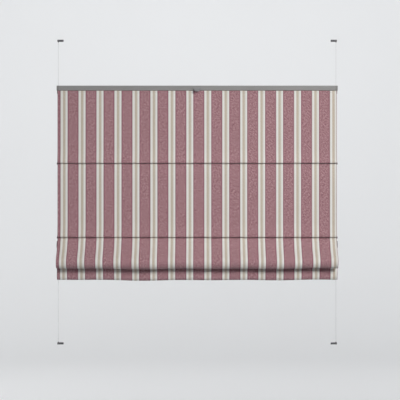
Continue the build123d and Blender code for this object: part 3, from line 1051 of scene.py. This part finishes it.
@dataclass
class Cloth:
    """The blind's cloth: one folded sheet with turned side hems.

    It is cut away beside the rods' pockets and the rails' channels, where the guides and end caps are.
    """

    line: FoldLine
    hang: Hang
    finish: StripedCloth = StripedCloth()
    thickness: float = 0.0008
    hem: float = 0.0145
    hem_layer: float = 0.00084
    hem_turn: tuple[float, ...] = (-45.0, 0.0, 45.0)
    column: float = 0.011
    seam_column: float = 0.0045
    turn_column: float = 0.0015
    pocket_cut_y: float = -0.0043
    pocket_margin: float = 0.004
    rail_cut: float = 0.0060
    rail_margin: float = 0.002
    rail_stretch: float = 0.25
    tail_back: float = 0.0005
    uv_span: float = 1.6
    uv_margin: float = 0.032
    smooth_below: float = 50.0

    def __post_init__(self) -> None:
        """Reads the cloth's width from its fixed solid."""
        self.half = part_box("fabric")[1].x

    def columns(self) -> np.ndarray:
        """Spaces the cloth's columns of points, closer round the hems.

        Returns:
            Each column's x, distance behind the front layer, and place on the flat cloth.
        """
        turn = self.hem_layer / 2.0
        edge = self.half - turn - self.thickness / 2.0
        inner = self.half - self.hem
        laid = [inner, inner + self.seam_column, self.half - self.rail_cut, edge - self.turn_column, edge]
        right = [(x, 0.0, x) for x in laid[1:]]
        for angle in map(math.radians, self.hem_turn):
            place = edge + turn * (angle + math.pi / 2.0)
            right.append((edge + turn * math.cos(angle), turn + turn * math.sin(angle), place))
        right += [(x, self.hem_layer, edge + turn * math.pi + edge - x) for x in reversed(laid)]
        plain = np.linspace(-inner, inner, int(round(2 * inner / self.column)) + 1)
        left = [(-x, behind, -place) for x, behind, place in reversed(right)]
        return np.array(left + [(x, 0.0, x) for x in plain] + right)

    def flat_size(self) -> tuple[float, float]:
        """Gives the size that the cloth was cut to, as width and length."""
        return float(np.ptp(self.columns()[:, 2])), self.line.length

    def _cut_away(self, x: float, behind: float, y: float, z: float, along: float) -> bool:
        """Tells whether the cloth is cut away at a point.

        Args:
            x: How far it is from the middle, at least.
            behind: Its distance behind the front layer.
            y: Its place from front to back.
            z: Its height.
            along: Its distance along the cloth.

        Returns:
            True beside the pockets, beside the rails' channels, and for the hem inside the rails.
        """
        marks = self.line.marks
        margin = self.pocket_margin
        at_rod = any(marks[first] - margin < along < marks[last] + margin for first, last in POCKETS.values())
        if at_rod and y > self.pocket_cut_y and x > self.half - self.hem - HAIR:
            return True
        # Only the stretch at the top rail, because the tuck lies behind the flat cloth too
        high = z > self.line.mouths[End.TOP] - self.rail_margin or y > self.line.flat_y + self.tail_back
        in_top = high and along < marks[Run.UPPER_CREASE] - self.rail_stretch
        in_rail = in_top or along > marks[Run.BOTTOM_EDGE] - self.rail_margin
        return in_rail and (behind > HAIR or x > self.half - self.rail_cut - HAIR)

    def _faces(self, along: np.ndarray, points: np.ndarray, columns: np.ndarray) -> list[tuple[int, ...]]:
        """Lists the faces that are left after the cuts.

        Args:
            along: The rows' distances along the cloth.
            points: The line's points at the rows.
            columns: The columns across the cloth.

        Returns:
            Each face's points, counted row by row.
        """
        count = len(columns)
        faces = []
        for i in range(len(along) - 1):
            y, z, s = points[i: i + 2, 0].min(), points[i: i + 2, 1].max(), (along[i] + along[i + 1]) / 2.0
            for j in range(count - 1):
                nearest, behind = np.abs(columns[j: j + 2, 0]).min(), columns[j: j + 2, 1].max()
                if not self._cut_away(nearest, behind, y, z, s):
                    a = i * count + j
                    faces.append((a, a + 1, a + count + 1, a + count))
        return faces

    def build(self) -> bpy.types.Object:
        """Makes the sheet, gives it its thickness and blends it between the two carriages.

        Returns:
            The finished piece.
        """
        along = self.line.rows()
        points, ways = self.line.at(along)
        columns = self.columns()
        faces = self._faces(along, points, columns)
        x, behind, place = (np.tile(columns[:, i], len(along)) for i in range(3))
        along, points, ways = (np.repeat(values, len(columns), axis=0) for values in (along, points, ways))
        spots = np.stack([x, points[:, 0] - ways[:, 1] * behind, points[:, 1] + ways[:, 0] * behind], axis=1)

        mesh = bpy.data.meshes.new("cloth")
        mesh.from_pydata(self.hang.bend(spots, along, ways).tolist(), [], faces)
        corners = np.empty(len(mesh.loops), np.int32)
        mesh.loops.foreach_get("vertex_index", corners)
        uv = np.stack([place + self.half + self.uv_margin, along], axis=1)[corners] / self.uv_span
        mesh.uv_layers.new(name="flat").data.foreach_set("uv", uv.astype(np.float32).ravel())
        cloth = bpy.data.objects.new("cloth", mesh)
        link(cloth)
        self.mark(cloth, along)
        self._thicken(cloth)
        cloth.data.materials.append(self.finish.build(self.uv_span, self.uv_margin, self.half))
        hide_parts("fabric")
        self.blend(cloth)
        return cloth

    def _thicken(self, cloth: bpy.types.Object) -> None:
        """Drops loose points, gives the sheet its thickness and shades it smooth.

        Args:
            cloth: The thin sheet.
        """
        select_only(cloth)
        bpy.ops.object.mode_set(mode="EDIT")
        bpy.ops.mesh.select_all(action="SELECT")
        bpy.ops.mesh.delete_loose()
        bpy.ops.object.mode_set(mode="OBJECT")
        wall = cloth.modifiers.new("wall", "SOLIDIFY")
        wall.thickness = self.thickness
        wall.offset = 0.0
        bpy.ops.object.modifier_apply(modifier=wall.name)
        bpy.ops.object.shade_smooth_by_angle(angle=math.radians(self.smooth_below))

    @staticmethod
    def mark(piece: bpy.types.Object, along: np.ndarray) -> None:
        """Keeps each point's distance along the cloth, for the blend."""
        attribute = piece.data.attributes.new("along", "FLOAT", "POINT")
        attribute.data.foreach_set("value", along.astype(np.float32))

    def blend(self, piece: bpy.types.Object) -> None:
        """Makes a piece follow both carriages, by each point's distance along the cloth.

        Args:
            piece: A piece whose points are marked with that distance.
        """
        start, end = ((0.0, self.line.flat_y, self.line.rods[row]) for row in (Row.MIDDLE, Row.LOWER))
        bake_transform(piece, End.TOP.carriage, End.BOTTOM.carriage, start=start, end=end)
        attributes = piece.data.attributes
        along = np.empty(len(piece.data.vertices), np.float32)
        attributes["along"].data.foreach_get("value", along)
        attributes["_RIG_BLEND"].data.foreach_set("value", self.hang.share(along).astype(np.float32))
        attributes.remove(attributes["along"])


class Seam(NamedTuple):
    """Stitches: their middles, directions, outward directions, and distances along the cloth."""

    spots: np.ndarray
    lengths: np.ndarray
    outs: np.ndarray
    along: np.ndarray


@dataclass
class Stitching:
    """Rows of stitches: down both side hems, along the rod pockets and along the cloth's two edges."""

    cloth: Cloth
    finish: Thread = Thread()
    pitch: float = 0.0034
    stitch: float = 0.0026
    thread: float = 0.00021
    hem_seam: float = 0.0026
    hem_start: float = 0.025
    hem_end: float = 0.006
    side_gap: float = 0.002
    pocket_seam_y: float = -0.0038
    pocket_reach: tuple[float, float] = (-0.004, 0.04)
    edge_seam: float = 0.009
    edge_reach: tuple[float, float] = (0.02, 0.12)

    def __post_init__(self) -> None:
        """Models one stitch, to be copied, and works out where stitches lie."""
        bpy.ops.object.select_all(action="DESELECT")
        bpy.ops.mesh.primitive_uv_sphere_add(segments=6, ring_count=5, radius=1.0)
        pattern = bpy.context.object
        bpy.ops.object.mode_set(mode="EDIT")
        bpy.ops.mesh.select_all(action="SELECT")
        bpy.ops.transform.resize(value=(self.thread, self.thread, self.stitch / 2.0))
        bpy.ops.object.mode_set(mode="OBJECT")
        self.shape = np.array([v.co for v in pattern.data.vertices])
        self.faces = [tuple(p.vertices) for p in pattern.data.polygons]
        bpy.data.objects.remove(pattern)
        self.material = self.finish.build()
        self.lift = self.cloth.thickness / 2.0 + self.thread / 2.0
        reach = self.cloth.half - self.cloth.hem - self.side_gap
        self.across = np.arange(-reach, reach, self.pitch)

    def _row(
        self, x: np.ndarray | float, along: np.ndarray | float, behind: float, upright: bool = False
    ) -> Seam:
        """Works out a row of stitches on the cloth.

        Args:
            x: Their places across, or the place of all.
            along: Their distances along the cloth, or the distance of all.
            behind: How far behind the middle of the front layer they lie; negative is in front.
            upright: True where they run along the line, False where they run across.

        Returns:
            The row.
        """
        x, along = np.broadcast_arrays(x, along)
        points, ways = self.cloth.line.at(along)
        none = np.zeros(len(x))
        backs = np.stack([none, -ways[:, 1], ways[:, 0]], axis=1)
        spots = np.stack([x, points[:, 0], points[:, 1]], axis=1) + backs * behind
        spots = self.cloth.hang.bend(spots, along, ways)
        lengths = [none, ways[:, 0], ways[:, 1]] if upright else [none + 1.0, none, none]
        return Seam(spots, np.stack(lengths, axis=1), backs * math.copysign(1.0, behind), along)

    def _sew(self, name: str, rows: Sequence[Seam], end: End | None = None) -> bpy.types.Object:
        """Copies the stitch to each place in some rows.

        Args:
            name: The piece's name.
            rows: The rows of stitches.
            end: The end whose carriage the piece rides on; without one it follows the cloth.

        Returns:
            The piece.
        """
        seam = Seam(*(np.concatenate(parts) for parts in zip(*rows)))
        ways = (np.cross(seam.outs, seam.lengths), seam.outs, seam.lengths)
        turned = seam.spots[:, None, :] + sum(
            self.shape[None, :, i: i + 1] * way[:, None, :] for i, way in enumerate(ways)
        )
        count = len(self.shape)
        faces = [tuple(i * count + v for v in face) for i in range(len(seam.spots)) for face in self.faces]
        mesh = bpy.data.meshes.new(name)
        mesh.from_pydata(turned.reshape(-1, 3).tolist(), [], faces)
        mesh.polygons.foreach_set("use_smooth", [True] * len(mesh.polygons))
        mesh.materials.append(self.material)
        piece = bpy.data.objects.new(name, mesh)
        link(piece)
        if end is None:
            self.cloth.mark(piece, np.repeat(seam.along, count))
            self.cloth.blend(piece)
        else:
            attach(piece, end.carriage)
        return piece

    def hems(self) -> list[bpy.types.Object]:
        """Sews both side hems, in front and behind.

        Returns:
            The pieces.
        """
        line, cloth = self.cloth.line, self.cloth
        start = line.marks[Run.TOP_EDGE] + line.edge_fold + self.hem_start
        steps = np.arange(start, line.marks[Run.BOTTOM_EDGE] - self.hem_end, self.pitch)
        points, _ = line.at(steps)
        kept = steps[points[:, 0] < cloth.pocket_cut_y - self.stitch / 2.0]
        pieces = []
        for side, sign in (("left", -1.0), ("right", 1.0)):
            x = sign * (cloth.half - cloth.hem + self.hem_seam)
            layers = (-self.lift, cloth.hem_layer + self.lift)
            rows = [self._row(x, kept, behind, upright=True) for behind in layers]
            pieces.append(self._sew(f"hem_stitches_{side}", rows))
        return pieces

    def pockets(self) -> list[bpy.types.Object]:
        """Sews the three rod pockets, above and below the pinch.

        Returns:
            The pieces.
        """
        line = self.cloth.line
        pieces = []
        for row in Row:
            first, last = (line.marks[POCKETS[row][0]] + reach for reach in self.pocket_reach)
            steps = np.arange(first, last, line.fine)
            inside = np.flatnonzero(line.at(steps)[0][:, 0] > self.pocket_seam_y)
            rows = [self._row(self.across, steps[i], self.lift) for i in (inside[0], inside[-1])]
            pieces.append(self._sew(f"pocket_stitches_{row.value}", rows, row.end))
        return pieces

    def edges(self) -> list[bpy.types.Object]:
        """Sews the folded edges below both rails, in front and behind.

        Returns:
            The pieces.
        """
        line = self.cloth.line
        tail = line.edge_fold - self.edge_seam
        nearest, farthest = self.edge_reach
        pieces = []
        for end in End:
            from_end = line.arcs if end is End.TOP else line.length - line.arcs
            level = line.mouths[end] - self.edge_seam
            near = (from_end > nearest) & (from_end < farthest) & (line.line[:, 1] < level)
            panel = line.arcs[near][np.argmin(from_end[near])]
            fold = tail if end is End.TOP else line.length - tail
            rows = [self._row(self.across, along, -self.lift) for along in (fold, panel)]
            pieces.append(self._sew(f"edge_stitches_{end.value}", rows, end))
        return pieces


@dataclass
class Hardware:
    """The fixed pieces that keep their meshes, each with its finish."""

    nodes: dict[str, bpy.types.Object]
    rail: Coating = Coating("rail_coating", srgb(153, 152, 151))
    cap: Moulding = Moulding("cap_plastic", srgb(130, 129, 128), light=1.08)
    bracket: Moulding = Moulding("bracket_plastic", srgb(92, 92, 95))
    grip: Moulding = Moulding("grip_plastic", srgb(136, 136, 138), light=1.1, roughness=0.45)
    guide: Moulding = Moulding("guide_plastic", srgb(88, 86, 86), roughness=0.4)
    shoe: Moulding = Moulding("brake_plastic", srgb(226, 226, 220), light=1.04, roughness=0.4)
    keder: Moulding = Moulding("keder_plastic", srgb(232, 231, 226), light=1.04, roughness=0.5)
    spring: Metal = Metal("spring_steel", (0.55, 0.55, 0.56), roughness=0.28)
    screw: Metal = Metal("screw_zinc", (0.60, 0.60, 0.58), roughness=0.34)
    nipple: Metal = Metal("nipple_brass", (0.70, 0.56, 0.30))
    cord: Braid = Braid("cord_braid", srgb(206, 206, 206))
    rod: FibreRod = FibreRod("rod_fibre", srgb(224, 223, 216))

    def dress(self) -> int:
        """Gives each fixed piece its finish, found by a word in its name.

        Returns:
            How many pieces were dressed.
        """
        finishes = {
            "rail_cap": (self.cap, "cap_grey"), "bracket": (self.bracket, "bracket_grey"),
            "grip": (self.grip, "grip_grey"), "guide": (self.guide, "guide_grey"),
            "shoe": (self.shoe, "brake_white"), "spring": (self.spring, "spring_steel"),
            "keder": (self.keder, "keder_white"), "clamp": (self.screw, "screw_steel"),
            "nipple": (self.nipple, "nipple_metal"), "tension_cord": (self.cord, "cord_grey"),
            "_rod": (self.rod, "rod_white"), "_rail": (self.rail, "rail_grey"),
        }
        made = {word: finish.build() for word, (finish, _) in finishes.items()}
        words = {name: next((word for word in finishes if word in name), None) for name in self.nodes}
        dressed = {name: word for name, word in words.items() if word is not None}
        for name, word in dressed.items():
            node = self.nodes[name]
            node.data.materials.clear()
            node.data.materials.append(made[word])
        return len(dressed)


@dataclass(frozen=True)
class Lamp:
    """A soft square light, whose beam a grid narrows to a spread in degrees."""

    name: str
    place: Spot
    size: float
    power: float
    colour: Colour = (1.0, 1.0, 1.0)
    target: Spot = (0.0, 0.0, -0.6)
    spread: float = 60.0

    def build(self, side: float = 1.0) -> None:
        """Hangs the lamp.

        Args:
            side: 1 for its own place, -1 for the mirror image on the other side.
        """
        data = bpy.data.lights.new(self.name, "AREA")
        data.size = self.size
        data.energy = self.power
        data.color = self.colour
        data.spread = math.radians(self.spread)
        place, target = (Vector((side * spot[0], *spot[1:])) for spot in (self.place, self.target))
        lamp = bpy.data.objects.new(self.name, data)
        lamp.location = place
        lamp.rotation_euler = (target - place).to_track_quat("-Z", "Y").to_euler()
        lamp.visible_camera = False
        link(lamp)


@dataclass
class Studio:
    """Camera, lights and a pale bowl of paper round the blind."""

    distance: float = 6.2
    frame_width: float = 1.68
    sensor: float = 36.0
    clip: float = 100.0
    aim: tuple[float, float] = (0.012, -0.6733)
    floor: float = -2.2
    reach: float = 8.0
    rim: float = 6.0
    rim_steps: int = 12
    sides: int = 96
    paper: Paper = Paper()
    sky: Colour = (0.93, 0.95, 1.0)
    sky_strength: float = 0.08
    key: Lamp = Lamp("key", (3.0, -3.7, 1.55), 2.0, 32.0, (1.0, 0.985, 0.965))
    fill: Lamp = Lamp("fill", (-3.0, -4.8, 0.0), 2.6, 4.0, (0.95, 0.97, 1.0))
    back: Lamp = Lamp("back", (1.2, 4.0, 1.6), 2.6, 22.0, (0.97, 0.98, 1.0))
    backdrop: Lamp = Lamp("backdrop", (4.5, 1.0, 2.8), 2.5, 350.0, target=(1.5, 12.0, 1.6), spread=130.0)
    surround: Lamp = Lamp("surround", (5.4, -1.5, 2.8), 2.0, 150.0, target=(14.0, 0.5, 0.8), spread=130.0)

    def camera(self, cloth_y: float) -> None:
        """Puts the camera straight in front.

        Args:
            cloth_y: Where the flat cloth hangs, from which the distance is counted.
        """
        data = bpy.data.cameras.new("camera")
        data.sensor_width = self.sensor
        data.lens = self.sensor * self.distance / self.frame_width
        data.clip_end = self.clip
        camera = bpy.data.objects.new("camera", data)
        camera.location = (self.aim[0], cloth_y - self.distance, self.aim[1])
        camera.rotation_euler = (math.pi / 2.0, 0.0, 0.0)
        link(camera)
        bpy.context.scene.camera = camera

    def bowl(self) -> None:
        """Makes the floor and its raised rim as one bowl."""
        bpy.ops.object.select_all(action="DESELECT")
        bpy.ops.mesh.primitive_circle_add(
            vertices=self.sides, radius=self.reach, fill_type="NGON", location=(0.0, 0.0, self.floor)
        )
        bowl = bpy.context.object
        bowl.name = "studio_bowl"
        bpy.ops.object.mode_set(mode="EDIT")
        bpy.ops.mesh.select_all(action="SELECT")
        turns = np.radians(np.linspace(0.0, 90.0, self.rim_steps + 1))
        radii = self.reach + self.rim * np.sin(turns)
        rises = np.diff(self.rim * (1.0 - np.cos(turns)))
        for rise, grow in zip(rises, radii[1:] / radii[:-1]):
            bpy.ops.mesh.extrude_region_move(TRANSFORM_OT_translate={"value": (0.0, 0.0, rise)})
            bpy.ops.transform.resize(value=(grow, grow, 1.0), center_override=(0.0, 0.0, 0.0))
        bpy.ops.mesh.delete(type="ONLY_FACE")
        bpy.ops.object.mode_set(mode="OBJECT")
        bpy.ops.object.transform_apply(location=True)
        bpy.ops.object.shade_smooth()
        bowl.data.materials.append(self.paper.build())

    def lights(self) -> None:
        """Hangs the lamps and sets a dim sky."""
        for lamp in (self.key, self.fill, self.back):
            lamp.build()
        for side in (-1.0, 1.0):
            self.backdrop.build(side)
            self.surround.build(side)
        world = bpy.data.worlds.new("studio")
        world.use_nodes = True
        background = world.node_tree.nodes["Background"]
        background.inputs["Color"].default_value = (*self.sky, 1.0)
        background.inputs["Strength"].default_value = self.sky_strength
        bpy.context.scene.world = world

    def build(self, cloth_y: float) -> None:
        """Makes camera, paper and lights.

        Args:
            cloth_y: Where the flat cloth hangs.
        """
        self.camera(cloth_y)
        self.bowl()
        self.lights()
        bpy.context.scene.view_settings.view_transform = "Standard"


def main() -> None:
    """Builds the blind's looks around the fixed frame."""
    logging.basicConfig(level=logging.INFO, format="%(message)s")
    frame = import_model()
    line = FoldLine()
    Studio().build(line.flat_y)

    cloth = Cloth(line, Hang(line))
    sheet = cloth.build()
    LOG.info("cloth: %d points, line %.1f mm", len(sheet.data.vertices), line.length * 1000.0)
    stitching = Stitching(cloth)
    seams = [*stitching.hems(), *stitching.pockets(), *stitching.edges()]
    for seam in seams:
        LOG.info("%s: %d faces", seam.name, len(seam.data.polygons))
    cloth.flat_size()
    LOG.info("hardware: %d pieces", Hardware(frame["nodes"]).dress())


if __name__ == "__main__":
    main()
